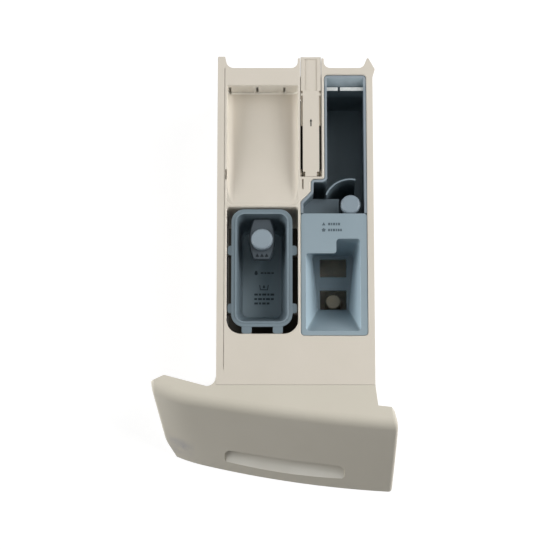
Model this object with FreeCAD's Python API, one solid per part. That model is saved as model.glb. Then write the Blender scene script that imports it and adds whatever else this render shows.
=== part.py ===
import FreeCAD, Part
import math
import os
from FreeCAD import Vector

# Drawer body. X to the right, Y to the rear, Z up; the origin lies under the front wall.
rim_height = 84.0         # top deck above the resting plane
body_wall = 2.2           # moulded wall of the body
body_half_width = 71.0    # centre plane to the outer edge of each runner rim
left_rim = 9.0            # width of the runner rim left of the compartments
right_rim = 5.8           # width of the runner rim right of the tray bay
lip_height = 12.0         # turned-down outer lip of the runner rims
body_length = 297.0       # mid-plane of the front wall to the rear face
tail_length = 11.0        # runner tails behind the rear wall
tail_round = 7.2          # inner round of the left tail
stop_nib = 2.2            # stop nib on the right runner tail
nib_ramp = 8.8            # slope in front of the stop nib
rim_groove = 0.9          # fine groove along each runner rim
edge_ease = 0.8           # eased edges of the openings in the deck
catch_slot_width = 1.3    # blind catch slots in the deck
catch_slot_length = 9.5
catch_slot_depth = 1.8
skirt_relief = 8.0        # arch under each side wall, between the feet
arch_round = 7.0
foot_length = 34.0        # length of the feet at both ends of the side walls
rib_thickness = 1.6       # stiffening ribs on hidden sides
rib_depth = 18.0          # ribs under the apron
apron_rib_count = 4
apron_rib_pitch = 24.0
floor_rib_count = 3

# Compartments of the body.
well_apron = 45.8         # front wall to the cup well
well_width = 64.4
well_length = 118.0
well_depth = 70.0         # length of the well's walls below the deck
well_corner = 13.0        # near corners of the well
powder_depth = 20.5       # deck to the floor at the drains
powder_dip = 8.0          # deck to the foot of the near ramp
powder_ramp = 24.0        # run of the near ramp
ramp_radius = 150.0
powder_corner = 6.0       # round between floor and side walls
rear_ledge = 17.0         # flat ledge behind the powder compartment
drain_count = 3
drain_pitch = 25.0
drain_inset = 2.2         # left side wall to the first drain
drain_width = 2.0
drain_height = 14.5

# Dispenser tray in its bay.
fit_gap = 0.4             # clearance round pieces that lift out
bay_apron = 44.0          # front wall to the tray bay
bay_floor = 18.0          # underside of the bay's floor above the resting plane
tray_wall = 2.2
tray_drop = 1.0           # tray rim below the deck
tray_setback = 7.0        # far edge of the tray to the rear face of the body
tray_step_offset = 12.5   # middle step, to the left of the narrow part
tray_step_length = 11.5
tray_slant = 9.5          # run of the slanted side
slant_setback = 11.0      # far edge of the cover to the slanted side
tray_corner = 3.0
shelf_length = 10.5       # inlet shelf at the far end
shelf_depth = 9.0
weir_thickness = 3.4      # weir between shelf and bleach chamber
weir_drop = 2.5
weir_notch = 2.2
weir_notch_offset = 5.6   # notch left of the middle of the weir
divider_setback = 1.8     # far edge of the cover to the far face of the divider
divider_drop = 8.5        # divider between the two chambers, below the tray's rim
plateau_clearance = 10.2  # bleach siphon's axis to the raised step on its left
plateau_length = 17.2
plateau_drop = 18.0
guard_radius = 24.0       # thin guard wall round the bleach siphon
guard_thickness = 1.4
guard_drop = 3.0

# Siphons: standpipes moulded in cup and tray, each under its own cap.
pipe_outer = 9.0
pipe_bore = 6.0
pipe_nozzle = 6.0         # outlet below the floor it stands on
pipe_clearance = 2.0      # hole in the bay's floor round each outlet
cap_wall = 1.5
cap_gap = 1.0             # clearance between standpipe and cap
cap_inlet = 3.0           # inlet notches at the foot of each cap
pipe_headroom = 3.0       # standpipe's end to the cap's ceiling
bleach_inset = 14.6       # tray's right side to the bleach siphon's axis
bleach_setback = 7.6      # divider to the bleach siphon's axis
bleach_knob_drop = 2.5    # knob below the deck
softener_cap_gap = 3.7    # funnel to the softener siphon's cap
knob_diameter = 18.0
knob_thickness = 6.0
knob_round = 2.4

# Hopper cover over the softener chamber.
cover_thickness = 2.0
cover_length = 113.6
cover_corner = 3.0
funnel_wall = 1.8
funnel_depth = 35.0
funnel_left_margin = 4.4  # edges of the cover to the funnel's mouth
funnel_right_margin = 6.0
funnel_near_margin = 4.0
funnel_far_margin = 23.8
funnel_left_draft = 8.8   # how far each funnel wall draws in down to the floor
funnel_right_draft = 7.6
funnel_near_draft = 29.0
funnel_far_draft = 6.0
funnel_taper = 2.6        # floor narrower at its near end and wider at its far end
mouth_overhang = 13.6     # how far the deck reaches over the far end of the funnel
notch_offset = 27.5       # recess in the overhanging deck, from the mouth's left edge
window_side_margin = 4.4  # side walls of the funnel to the windows in its floor
window_length = 18.2      # near window
window_bar = 12.4         # floor bar between the two windows
window_far_margin = 3.2   # far window to the funnel's far wall
locating_skirt = 4.0      # skirt of the cover inside the tray

# Detergent cup in the well.
cup_left_gap = 4.1        # walls of the well to the cup's rim
cup_right_gap = 5.1
cup_near_gap = 7.2
cup_far_gap = 1.0
cup_corner = 12.0
cup_rim = 4.6             # width of the rim
cup_rim_thickness = 2.0
cup_bead = 1.2            # raised bead round the mouth
cup_bead_height = 0.6
cup_drop = 3.6            # rim below the deck
cup_wall = 1.8
cup_depth = 50.0          # rim to the floor at the siphon end
cup_rise = 6.0            # rise of the floor towards the near end
cup_side_draft = 5.4
cup_near_draft = 15.0
cup_far_draft = 5.0
cup_floor_corner = 6.0
cup_seat = 3.0            # raised seat of the siphon cap on the cup's floor
lug_width = 9.0
lug_thickness = 1.8
lug_corner = 2.6
lug_gap = 0.8             # end of each lug to the well's wall
pad_height = 6.0          # ledge pads of the well under the lugs
side_lug_near = 24.2      # side lugs from the near wall of the well
side_lug_far = 78.2
near_lug_left = 13.6      # near lugs from the middle of the cup
near_lug_right = 14.4
cup_siphon_setback = 27.4 # siphon's axis to the cup's far end
cup_knob_drop = 1.4       # knob below the cup's rim
cup_knob_diameter = 19.6
plate_width = 23.4        # boat-shaped plate of the cup's cap
plate_end = 15.6          # its straight ends
plate_near = 18.2         # siphon axis to the plate's near and far ends
plate_far = 21.0
plate_slope = 1.2         # slope of the plate's edge in plan
plate_corner = 1.5
plate_drop = 7.9          # plate below the cup's rim
plate_thickness = 3.0

# Release lever in its channel.
channel_width = 19.6
lever_gap = 2.3           # slots beside the tongue
lever_setback = 3.0       # tray's middle step to the root of the tongue
lever_thickness = 2.4
lever_drop = 0.6          # tongue below the deck
lever_corner = 1.0
lever_rib_depth = 6.0
lever_neck = 10.5         # width of the tongue's neck
lever_neck_length = 4.5
flange_length = 33.0      # low flanges that close the slots in front of the head
flange_thickness = 1.0
head_length = 33.0        # wide head at the free end
head_gap = 0.5            # running clearance of the head
head_depth = 12.0
head_round = 2.0          # lower front edge of the head
head_wall = 3.6           # end wall of the head
head_groove = 11.5        # shallow groove along the head
head_groove_depth = 0.8
cheek_fillet = 6.0        # channel walls to the rear face
lever_stub = 2.2          # stop stubs beside the tongue
stub_setback = 3.5        # stubs in front of the head
hinge_setback = 4.5       # root of the tongue to the hinge
hinge_drop = 8.0          # hinge below the deck
hinge_pin = 4.0
hinge_ear = 1.4           # ears of the channel walls that carry the pins
hinge_ear_diameter = 8.4
pin_gap = 0.3
lever_sweep = 5.0         # downward travel of the lever, in degrees

# Front panel, a hollow curved wedge with a hood over the neck.
panel_left = 129.0        # reach of the top edge to the left of the centre plane
panel_right = 92.2
panel_left_y = -2.5       # front edge of the top at its left end
panel_sweep = 36.4        # right end further forward than the left
panel_bend = 7.0          # left end bent back from the line of the face, at the top
panel_foot_bend = 3.0     # the same at the foot
bend_run = 32.0           # length of the bent end
panel_top_bulge = 2.8
panel_foot_bulge = 5.4
panel_left_lean = 44.4    # foot forward of the top
panel_right_lean = 43.6
panel_left_taper = 14.2   # how far the ends draw in towards the foot
panel_right_taper = 3.9
panel_skin = 2.5
panel_round = 12.0        # rounded top edge of the face
left_end_round = 4.0      # rounded edges of both ends
right_end_round = 3.0
left_end_depth = 5.1      # end walls at the top
right_end_depth = 13.4
rear_corner_run = 11.6    # cut rear corners
rear_corner_rise = 5.4
right_corner_run = 6.8     # the same at the right end
right_corner_rise = 4.2
kink_reach = 7.6          # body to the kink in the rear edge of the left wing
kink_y = -2.5
corner_cut_across = 6.5   # cut of the lower left corner
corner_cut_up = 12.0
neck_flare = 2.4          # the neck widens to the right end of the panel
neck_foot = 8.0           # side walls of the hood above the resting plane
neck_web = 8.7            # rounded web between hood and left wing
seam = 0.15               # gap between the panel and its neighbours
grip_left = -65.0         # finger recess
grip_right = 45.0
grip_low = 10.2
grip_high = 27.5
grip_lip = 5.0            # undercut behind its upper edge
grip_dish = 1.3           # hollow of its floor in side view
grip_end = 6.4

# Backing plate and its screws.
backing_thickness = 2.4
boss_diameter = 9.0
screw_reach = 48.0        # centre plane to both columns of screws
screw_low = 24.0          # rows of screws above the resting plane
screw_high = 60.0
screw_diameter = 3.5
screw_head_diameter = 7.0
screw_head_height = 2.4
screw_length = 12.0
screw_gap = 0.2

# Places that follow from the sizes above.
half_wall = body_wall / 2
front_face = -half_wall
left_in = -body_half_width + left_rim
right_in = body_half_width - right_rim
spine = left_in + well_width
channel_left = spine + body_wall
channel_right = channel_left + channel_width
channel_mid = (channel_left + channel_right) / 2
well_far = well_apron + well_length
powder_near = well_far + body_wall
powder_far = body_length - rear_ledge
powder_floor = rim_height - powder_depth
rear_face = body_length - body_wall
tray_left = channel_left + fit_gap
tray_right = right_in - fit_gap
tray_near = bay_apron + fit_gap
tray_rear = body_length - tray_setback
tray_rear_left = channel_right + body_wall + fit_gap
tray_step_left = tray_rear_left - tray_step_offset
tray_top = rim_height - tray_drop
tray_foot = bay_floor + body_wall
tray_floor = tray_foot + tray_wall
cover_far = tray_near + cover_length
cover_seat = tray_top - cover_thickness
divider_far = cover_far + divider_setback
tray_slant_end = cover_far + slant_setback
tray_step_near = tray_slant_end + tray_slant
tray_step_far = tray_step_near + tray_step_length
funnel_left = tray_left + funnel_left_margin
funnel_right = tray_right - funnel_right_margin
funnel_near = tray_near + funnel_near_margin
funnel_far = cover_far - funnel_far_margin
funnel_floor = cover_seat - funnel_depth
window_left = funnel_left + funnel_left_draft + window_side_margin
window_right = funnel_right - funnel_right_draft - window_side_margin
window_near = funnel_near + funnel_near_draft
window_far = funnel_far - funnel_far_draft - window_far_margin
bleach_siphon = (tray_right - bleach_inset, divider_far + bleach_setback)
bleach_knob_top = rim_height - bleach_knob_drop
plateau_right = bleach_siphon[0] - plateau_clearance
softener_siphon = ((window_left + window_right) / 2, window_near + window_length / 2)
softener_cap_top = funnel_floor - funnel_wall - softener_cap_gap
lever_top = rim_height - lever_drop
lever_near = tray_step_far + lever_setback
lever_far = body_length + tail_length
lever_left = channel_left + lever_gap
lever_right = channel_right - lever_gap
head_near = lever_far - head_length
head_left = channel_left + head_gap
head_right = channel_right - head_gap
hinge_y = lever_near + hinge_setback
hinge_z = rim_height - hinge_drop
cup_width = well_width - cup_left_gap - cup_right_gap
cup_length = well_length - cup_near_gap - cup_far_gap
cup_centre = (left_in + cup_left_gap + cup_width / 2, well_apron + cup_near_gap + cup_length / 2)
cup_top = rim_height - cup_drop
cup_floor = cup_top - cup_depth
cup_lug_seat = cup_top - cup_rim_thickness
cup_siphon = (cup_centre[0], cup_centre[1] + cup_length / 2 - cup_siphon_setback)
cup_knob_top = cup_top - cup_knob_drop
plate_top = cup_top - plate_drop
wing_kink = (-body_half_width - kink_reach, kink_y)
panel_reach = panel_left + panel_right
screw_places = [(x, z) for x in (-screw_reach, screw_reach) for z in (screw_low, screw_high)]
above = 10.0              # how far cutting solids pass the faces that they open
same = 0.01               # distance within which two places count as one


def loop(corners):
    # Closed wire through (point, radius) corners, with a tangent arc at each radius.
    ends = []
    for index, (point, radius) in enumerate(corners):
        back = (corners[index - 1][0] - point).normalize()
        ahead = (corners[(index + 1) % len(corners)][0] - point).normalize()
        half = back.getAngle(ahead) / 2
        reach = radius / math.tan(half)
        inward = (back + ahead) * radius
        middle = point
        if inward.Length:
            middle = point + inward.normalize() * (radius / math.sin(half) - radius)
        ends.append((point + back * reach, middle, point + ahead * reach))
    edges = []
    for index, (start, middle, stop) in enumerate(ends):
        if not start.isEqual(stop, same):
            edges.append(Part.Arc(start, middle, stop).toShape())
        following = ends[(index + 1) % len(ends)][0]
        if not stop.isEqual(following, same):
            edges.append(Part.LineSegment(stop, following).toShape())
    return Part.Wire(edges)


def plan(corners, z):
    return loop([(Vector(x, y, z), radius) for x, y, radius in corners])


def rectangle(x0, x1, y0, y1, z, radius):
    return plan([(x0, y0, radius), (x1, y0, radius), (x1, y1, radius), (x0, y1, radius)], z)


def rise(wire, height):
    return Part.Face(wire).extrude(Vector(0, 0, height))


def side_prism(corners, x0, x1):
    # Side profile of (y, z, radius) corners, drawn across from x0 to x1.
    wire = loop([(Vector(x0, y, z), radius) for y, z, radius in corners])
    return Part.Face(wire).extrude(Vector(x1 - x0, 0, 0))


def box(x0, x1, y0, y1, z0, z1):
    return Part.makeBox(x1 - x0, y1 - y0, z1 - z0, Vector(x0, y0, z0))


def rod(diameter, x, y, z0, z1):
    return Part.makeCylinder(diameter / 2, z1 - z0, Vector(x, y, z0))


def cross_rod(diameter, x0, x1, y, z):
    return Part.makeCylinder(diameter / 2, x1 - x0, Vector(x0, y, z), Vector(1, 0, 0))


def long_rod(diameter, x, z, y0, y1):
    return Part.makeCylinder(diameter / 2, y1 - y0, Vector(x, y0, z), Vector(0, 1, 0))


def eased_edge(wire):
    # Flared cutter for an opening's upper edge, from its outline drawn one ease below the deck.
    wide = wire.makeOffset2D(2 * edge_ease)
    wide.translate(Vector(0, 0, 2 * edge_ease))
    return Part.makeLoft([wire, wide], True, True)


def tray_outline(z, outset=0.0):
    corners = [
        (tray_right, tray_near, tray_corner),
        (tray_right, tray_rear, tray_corner),
        (tray_rear_left, tray_rear, tray_corner),
        (tray_rear_left, tray_step_far, tray_corner),
        (tray_step_left, tray_step_far, tray_corner),
        (tray_step_left, tray_step_near, tray_corner),
        (tray_left, tray_slant_end, tray_corner),
        (tray_left, tray_near, tray_corner),
    ]
    wire = plan(corners, z)
    return wire.makeOffset2D(outset) if outset else wire


def well_outline(z):
    corners = [
        (left_in, well_apron, well_corner),
        (spine, well_apron, well_corner),
        (spine, well_far, body_wall),
        (left_in, well_far, body_wall),
    ]
    return plan(corners, z)


def powder_profile(x):
    # Side view of the compartment: a floor that falls from the near edge to the drains.
    return loop([(Vector(x, y, z), radius) for y, z, radius in (
        (powder_near, rim_height + above, 0),
        (powder_near, rim_height, 0),
        (powder_near + powder_ramp, rim_height - powder_dip, ramp_radius),
        (powder_far, powder_floor, 0),
        (powder_far, rim_height + above, 0),
    )])


def powder_cavity():
    cavity = Part.Face(powder_profile(left_in)).extrude(Vector(well_width, 0, 0))
    floor_edges = []
    for edge in cavity.Edges:
        middle = edge.CenterOfMass
        on_side = min(abs(middle.x - left_in), abs(middle.x - spine)) < same
        if on_side and middle.z < rim_height - same and edge.BoundBox.YLength > body_wall:
            floor_edges.append(edge)
    return cavity.makeFillet(powder_corner, floor_edges)


def powder_liner():
    profile = Part.Face(powder_profile(left_in - body_wall)).makeOffset2D(body_wall)
    liner = profile.extrude(Vector(well_width + 2 * body_wall, 0, 0))
    span = box(left_in - above, right_in, powder_near - body_wall, body_length, 0, rim_height)
    return liner.common(span)


def deck_outline(z):
    tail_end = body_length + tail_length
    corners = [
        (-body_half_width, front_face, 0),
        (body_half_width, front_face, 0),
        (body_half_width, body_length - nib_ramp, 0),
        (body_half_width + stop_nib, body_length - stop_nib / 2, stop_nib / 2),
        (right_in + right_rim / 4, tail_end, stop_nib / 2),
        (right_in - right_rim / 2, body_length, right_rim),
        (left_in, body_length, tail_round),
        (left_in - left_rim / 4, tail_end, 0),
        (-body_half_width, tail_end, stop_nib / 2),
    ]
    return plan(corners, z)


def runner_rims():
    # Deck with its turned-down outer lips.
    deck = rise(deck_outline(rim_height - body_wall), body_wall)
    lips = []
    for side, tail in ((-1, tail_length - stop_nib), (1, 0)):
        inner = side * (body_half_width - body_wall)
        outer = side * body_half_width
        lips.append(box(min(inner, outer), max(inner, outer), front_face, body_length + tail,
                        rim_height - lip_height, rim_height))
    line = left_in - body_wall
    groove = box(line - rim_groove / 2, line + rim_groove / 2, well_corner, body_length,
                 rim_height - rim_groove, rim_height + above)
    return deck.fuse(lips).cut(groove)


def side_walls():
    outer = box(left_in - body_wall, right_in + body_wall, front_face, body_length, 0, rim_height)
    inner = box(left_in, right_in, half_wall, rear_face, -above, rim_height + above)
    arch = side_prism([
        (foot_length, -above, 0),
        (body_length - foot_length, -above, 0),
        (body_length - foot_length - skirt_relief, skirt_relief, arch_round),
        (foot_length + skirt_relief, skirt_relief, arch_round),
    ], -body_half_width, body_half_width)
    return outer.cut([inner, arch])


def catch_slots():
    # Blind slots beside the powder compartment, in the left rim and in the deck by the tray.
    slots = []
    places = (
        (left_in - body_wall / 2, tray_step_far),
        (channel_left + body_wall, tray_step_near + body_wall),
    )
    for x, near in places:
        slots.append(box(x - catch_slot_width / 2, x + catch_slot_width / 2, near, near + catch_slot_length,
                         rim_height - catch_slot_depth, rim_height + above))
    return slots


def lever_guide():
    # Cheeks of the lever channel, carried on behind the rear wall.
    end = body_length + tail_length - head_gap - body_wall / 2
    cheek = channel_right + body_wall
    foot = cheek_fillet + half_wall
    corners = [
        (spine - foot, rear_face, 0),
        (cheek + foot, rear_face, 0),
        (cheek + foot, body_length, 0),
        (cheek, body_length, cheek_fillet),
        (cheek, end, body_wall / 3),
        (spine, end, body_wall / 3),
        (spine, body_length, cheek_fillet),
        (spine - foot, body_length, 0),
    ]
    low = rim_height - head_depth - 2 * body_wall
    return rise(plan(corners, low), rim_height - low)


def lever_opening():
    mouth = box(channel_left, channel_right, lever_near - fit_gap, rear_face, -above, rim_height + above)
    drop = math.sin(math.radians(lever_sweep)) * (lever_far - hinge_y)
    low = rim_height - head_depth - drop - body_wall
    tail = box(channel_left, channel_right, head_near - fit_gap, lever_far + above, low, rim_height + above)
    return mouth.fuse(tail)


def hinge_ears():
    ears = []
    for face, inward in ((channel_left, 1), (channel_right, -1)):
        end = face + inward * hinge_ear
        ears.append(cross_rod(hinge_ear_diameter, min(face, end), max(face, end), hinge_y, hinge_z))
    return ears


def hinge_sockets():
    depth = body_wall / 2
    bore = hinge_pin + 2 * pin_gap
    left = cross_rod(bore, channel_left - depth, channel_left + hinge_ear, hinge_y, hinge_z)
    right = cross_rod(bore, channel_right - hinge_ear, channel_right + depth, hinge_y, hinge_z)
    return [left, right]


def lug_pads():
    # Ledges of the well that carry the cup's lugs.
    pads = []
    low = cup_lug_seat - pad_height
    for place in (side_lug_near, side_lug_far):
        near = well_apron + place - lug_width / 2
        far = near + lug_width
        pads.append(box(left_in, left_in + cup_left_gap - fit_gap, near, far, low, cup_lug_seat))
        pads.append(box(spine - cup_right_gap + fit_gap, spine, near, far, low, cup_lug_seat))
    for place in (-near_lug_left, near_lug_right):
        left = cup_centre[0] + place - lug_width / 2
        pads.append(box(left, left + lug_width, well_apron, well_apron + cup_near_gap - fit_gap,
                        low, cup_lug_seat))
    return pads


def apron_ribs():
    # Ribs between the front wall and the compartments, under the deck.
    ribs = []
    high = rim_height - body_wall
    for index in range(apron_rib_count):
        x = (index - (apron_rib_count - 1) / 2) * apron_rib_pitch
        end = well_apron if x < spine else bay_apron
        ribs.append(box(x - rib_thickness / 2, x + rib_thickness / 2, half_wall, end, high - rib_depth, high))
    return ribs


def floor_ribs():
    # Cross ribs that stiffen the underside of the powder compartment, whose cavity trims their tops.
    ribs = []
    pitch = (powder_far - powder_near) / (floor_rib_count + 1)
    for place in range(1, floor_rib_count + 1):
        near = powder_near + place * pitch - rib_thickness / 2
        ribs.append(box(left_in, spine, near, near + rib_thickness,
                        powder_floor - rib_depth, rim_height - body_wall))
    return ribs


def drain_slots():
    # Slots to the shaft between the compartment and the rear wall.
    slots = []
    for index in range(drain_count):
        left = left_in + drain_inset + index * drain_pitch - drain_width / 2
        slots.append(box(left, left + drain_width, powder_far - body_wall, powder_far + 2 * body_wall,
                         powder_floor, powder_floor + drain_height))
    return slots


def eased_openings():
    low = rim_height - edge_ease
    powder_mouth = plan([
        (left_in, powder_near, powder_corner),
        (spine, powder_near, powder_corner),
        (spine, powder_far, half_wall),
        (left_in, powder_far, half_wall),
    ], low)
    return [eased_edge(powder_mouth), eased_edge(well_outline(low)), eased_edge(tray_outline(low, fit_gap))]


def drawer_body():
    walls = [side_walls(), runner_rims(), powder_liner(), lever_guide()]
    well_low = rim_height - well_depth
    well_face = Part.Face(well_outline(well_low)).makeOffset2D(body_wall)
    walls.append(well_face.extrude(Vector(0, 0, well_depth)))
    walls.append(box(spine, channel_left, well_far, body_length, well_low, rim_height))
    bay_face = Part.Face(tray_outline(bay_floor, fit_gap + body_wall))
    walls.append(bay_face.extrude(Vector(0, 0, rim_height - bay_floor)))
    walls += apron_ribs() + floor_ribs()
    body = walls[0].fuse(walls[1:])
    holes = [powder_cavity(), lever_opening()] + catch_slots() + drain_slots() + eased_openings()
    holes.append(rise(well_outline(well_low - above), well_depth + 2 * above))
    holes.append(rise(tray_outline(tray_foot, fit_gap), rim_height))
    for x, y in (bleach_siphon, softener_siphon):
        holes.append(rod(pipe_outer + 2 * pipe_clearance, x, y, bay_floor - above, tray_foot + above))
    for x, z in screw_places:
        holes.append(long_rod(screw_diameter + 2 * screw_gap, x, z, front_face - above, half_wall + above))
    body = body.cut(holes)
    body = body.fuse(lug_pads() + hinge_ears())
    return body.cut(hinge_sockets()).removeSplitter()


def standpipe(x, y, floor, top):
    return rod(pipe_outer, x, y, floor - pipe_nozzle, top)


def pipe_hole(x, y, floor, top):
    return rod(pipe_bore, x, y, floor - 2 * pipe_nozzle, top + above)


def pipe_end(cap_top):
    # Upper end of the standpipe under a cap.
    return cap_top - 2 * cap_wall - pipe_headroom


def cap_body(x, y, foot, top):
    # Hollow cap over a standpipe, with inlet notches at its foot.
    bore = pipe_outer + 2 * cap_gap
    skirt = rod(bore + 2 * cap_wall, x, y, foot, top)
    hollow = rod(bore, x, y, foot - above, top - 2 * cap_wall)
    notches = []
    for turn in (0, 90):
        slot = box(x - bore, x + bore, y - cap_inlet / 2, y + cap_inlet / 2, foot - above, foot + cap_inlet)
        slot.rotate(Vector(x, y, 0), Vector(0, 0, 1), turn)
        notches.append(slot)
    return skirt, hollow, notches


def round_top(shape, top, radius):
    # Rounds the outer edge of a turned shape's upper face.
    rims = [edge for edge in shape.Edges if edge.Closed and abs(edge.CenterOfMass.z - top) < same]
    return shape.makeFillet(radius, rims)


def knob(x, y, diameter, top):
    return round_top(rod(diameter, x, y, top - knob_thickness, top), top, knob_round)


def bleach_siphon_cap():
    x, y = bleach_siphon
    skirt, hollow, notches = cap_body(x, y, tray_floor, bleach_knob_top - knob_thickness / 2)
    cap = skirt.fuse(knob(x, y, knob_diameter, bleach_knob_top))
    return cap.cut([hollow] + notches).removeSplitter()


def softener_siphon_cap():
    x, y = softener_siphon
    skirt, hollow, notches = cap_body(x, y, tray_floor, softener_cap_top)
    return round_top(skirt, softener_cap_top, cap_wall).cut([hollow] + notches)


def guard_wall():
    x, y = bleach_siphon
    top = tray_top - guard_drop
    ring = rod(2 * guard_radius + guard_thickness, x, y, tray_foot, top)
    ring = ring.cut(rod(2 * guard_radius - guard_thickness, x, y, tray_foot - above, tray_top))
    left = tray_rear_left + tray_wall / 2
    return ring.common(box(left, x + pipe_outer / 2, y + pipe_outer, tray_rear, tray_foot, tray_top))


def tray_rooms():
    # Chambers, inlet shelf and weir, as one cutter that keeps the tray's outer wall.
    high = tray_top + above
    weir_far = tray_rear - shelf_length
    weir_near = weir_far - weir_thickness
    shelf_far = tray_rear - tray_wall
    shelf_floor = tray_top - shelf_depth
    shelf = side_prism([
        (weir_far, high, 0),
        (weir_far, shelf_floor, 0),
        (shelf_far, tray_top, 0),
        (shelf_far, high, 0),
    ], tray_left, tray_right)
    bleach = box(tray_left, tray_right, divider_far, weir_near, tray_floor, high)
    plateau = box(tray_left, plateau_right, divider_far, divider_far + plateau_length,
                  tray_floor, tray_top - plateau_drop)
    rooms = [
        box(tray_left, tray_right, tray_near, divider_far - tray_wall, tray_floor, high),
        shelf,
        box(tray_left, tray_right, weir_near, weir_far, tray_top - weir_drop, high),
    ]
    notch_left = (tray_rear_left + tray_right - weir_notch) / 2 - weir_notch_offset
    rooms.append(box(notch_left, notch_left + weir_notch, weir_near, weir_far, shelf_floor, high))
    inside = rise(tray_outline(tray_floor, -tray_wall), tray_top)
    return bleach.cut(plateau).fuse(rooms).common(inside)


def tray_recesses():
    # Hollows under the shelf and the plateau, open to below.
    low = tray_foot - above
    weir_near = tray_rear - shelf_length - weir_thickness
    under_shelf = box(tray_left, tray_right, weir_near + tray_wall, tray_rear - tray_wall,
                      low, tray_top - shelf_depth - tray_wall)
    under_plateau = box(tray_left, plateau_right - tray_wall, divider_far,
                        divider_far + plateau_length - tray_wall,
                        low, tray_top - plateau_drop - tray_wall)
    inside = rise(tray_outline(low, -tray_wall), tray_top)
    return under_shelf.fuse(under_plateau).common(inside)


def dispenser_tray():
    tray = rise(tray_outline(tray_foot), tray_top - tray_foot)
    tray = tray.cut([tray_rooms(), tray_recesses()])
    # The front part is lower, so that the cover lies flush with the rear rim.
    tray = tray.cut(box(tray_left - above, tray_right + above, tray_near - above, cover_far + fit_gap,
                        cover_seat, tray_top + above))
    divider_gap = box(tray_left + tray_wall, tray_right - tray_wall, divider_far - tray_wall - fit_gap,
                      divider_far, tray_top - divider_drop, tray_top + above)
    tray = tray.cut(divider_gap)
    pipes = []
    bores = []
    caps = ((bleach_siphon, bleach_knob_top - knob_thickness / 2), (softener_siphon, softener_cap_top))
    for (x, y), cap_top in caps:
        pipes.append(standpipe(x, y, tray_foot, pipe_end(cap_top)))
        bores.append(pipe_hole(x, y, tray_foot, pipe_end(cap_top)))
    return tray.fuse(pipes + [guard_wall()]).cut(bores).removeSplitter()


def funnel(outset, low):
    share = (cover_seat - low) / funnel_depth
    corner = cover_corner + outset
    mouth = rectangle(funnel_left - outset, funnel_right + outset, funnel_near - outset, funnel_far + outset,
                      cover_seat, corner)
    left = funnel_left + funnel_left_draft * share - outset
    right = funnel_right - funnel_right_draft * share + outset
    near = funnel_near + funnel_near_draft * share - outset
    far = funnel_far - funnel_far_draft * share + outset
    taper = funnel_taper * share
    foot = plan([
        (left + taper, near, funnel_wall / 2 + outset),
        (right - taper, near, funnel_wall / 2 + outset),
        (right + taper, far, corner),
        (left - taper, far, corner),
    ], low)
    return Part.makeLoft([mouth, foot], True, True)


def cover_skirt():
    # Skirt under the cover's edge that locates it inside the tray.
    inner = tray_wall + fit_gap
    low = cover_seat - locating_skirt
    outline = rectangle(tray_left + inner, tray_right - inner, tray_near + inner,
                        divider_far - inner, low, cover_corner)
    skirt = rise(outline, locating_skirt).cut(rise(outline.makeOffset2D(-funnel_wall), locating_skirt))
    return skirt.common(box(tray_left, tray_right, tray_near, cover_far, low, cover_seat))


def hopper_cover():
    deck = rise(rectangle(tray_left, tray_right, tray_near, cover_far, cover_seat, cover_corner),
                cover_thickness)
    cover = deck.fuse([funnel(funnel_wall, funnel_floor - funnel_wall), cover_skirt()])
    mouth_far = funnel_far - mouth_overhang
    notch_left = funnel_left + notch_offset
    mouth = plan([
        (funnel_left, funnel_near, cover_corner),
        (funnel_right, funnel_near, cover_corner),
        (funnel_right, funnel_far, cover_corner),
        (notch_left, funnel_far, cover_corner),
        (notch_left, mouth_far, cover_corner),
        (funnel_left, mouth_far, cover_corner),
    ], cover_seat)
    cuts = [funnel(0.0, funnel_floor), rise(mouth, above)]
    windows = (
        (window_near, window_near + window_length),
        (window_near + window_length + window_bar, window_far),
    )
    for near, far in windows:
        window = rectangle(window_left, window_right, near, far, funnel_floor - above, funnel_wall / 2)
        cuts.append(rise(window, 2 * above))
    return cover.cut(cuts).removeSplitter()


def cup_section(inset, z):
    width = cup_width / 2 - inset
    length = cup_length / 2 - inset
    x, y = cup_centre
    return rectangle(x - width, x + width, y - length, y + length, z, cup_corner - inset)


def cup_bowl(outset):
    # Mouth drawn down to a smaller floor, which falls towards the siphon.
    x, y = cup_centre
    inset = cup_rim - outset
    low = cup_floor - outset
    half = cup_width / 2 - inset - cup_side_draft
    near = y - cup_length / 2 + inset + cup_near_draft
    far = y + cup_length / 2 - inset - cup_far_draft
    corners = [
        Vector(x - half, near, low + cup_rise),
        Vector(x + half, near, low + cup_rise),
        Vector(x + half, far, low),
        Vector(x - half, far, low),
    ]
    floor = loop([(corner, cup_floor_corner + outset) for corner in corners])
    return Part.makeLoft([cup_section(inset, cup_top), floor], True, True)


def lug(x0, x1, y0, y1):
    return rise(rectangle(x0, x1, y0, y1, cup_lug_seat, lug_corner), lug_thickness)


def cup_lugs():
    x, y = cup_centre
    lugs = []
    inner = cup_rim / 2
    for place in (side_lug_near, side_lug_far):
        near = well_apron + place - lug_width / 2
        far = near + lug_width
        lugs.append(lug(left_in + lug_gap, x - cup_width / 2 + inner, near, far))
        lugs.append(lug(x + cup_width / 2 - inner, spine - lug_gap, near, far))
    for place in (-near_lug_left, near_lug_right):
        left = x + place - lug_width / 2
        lugs.append(lug(left, left + lug_width, well_apron + lug_gap, y - cup_length / 2 + inner))
    return lugs


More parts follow.
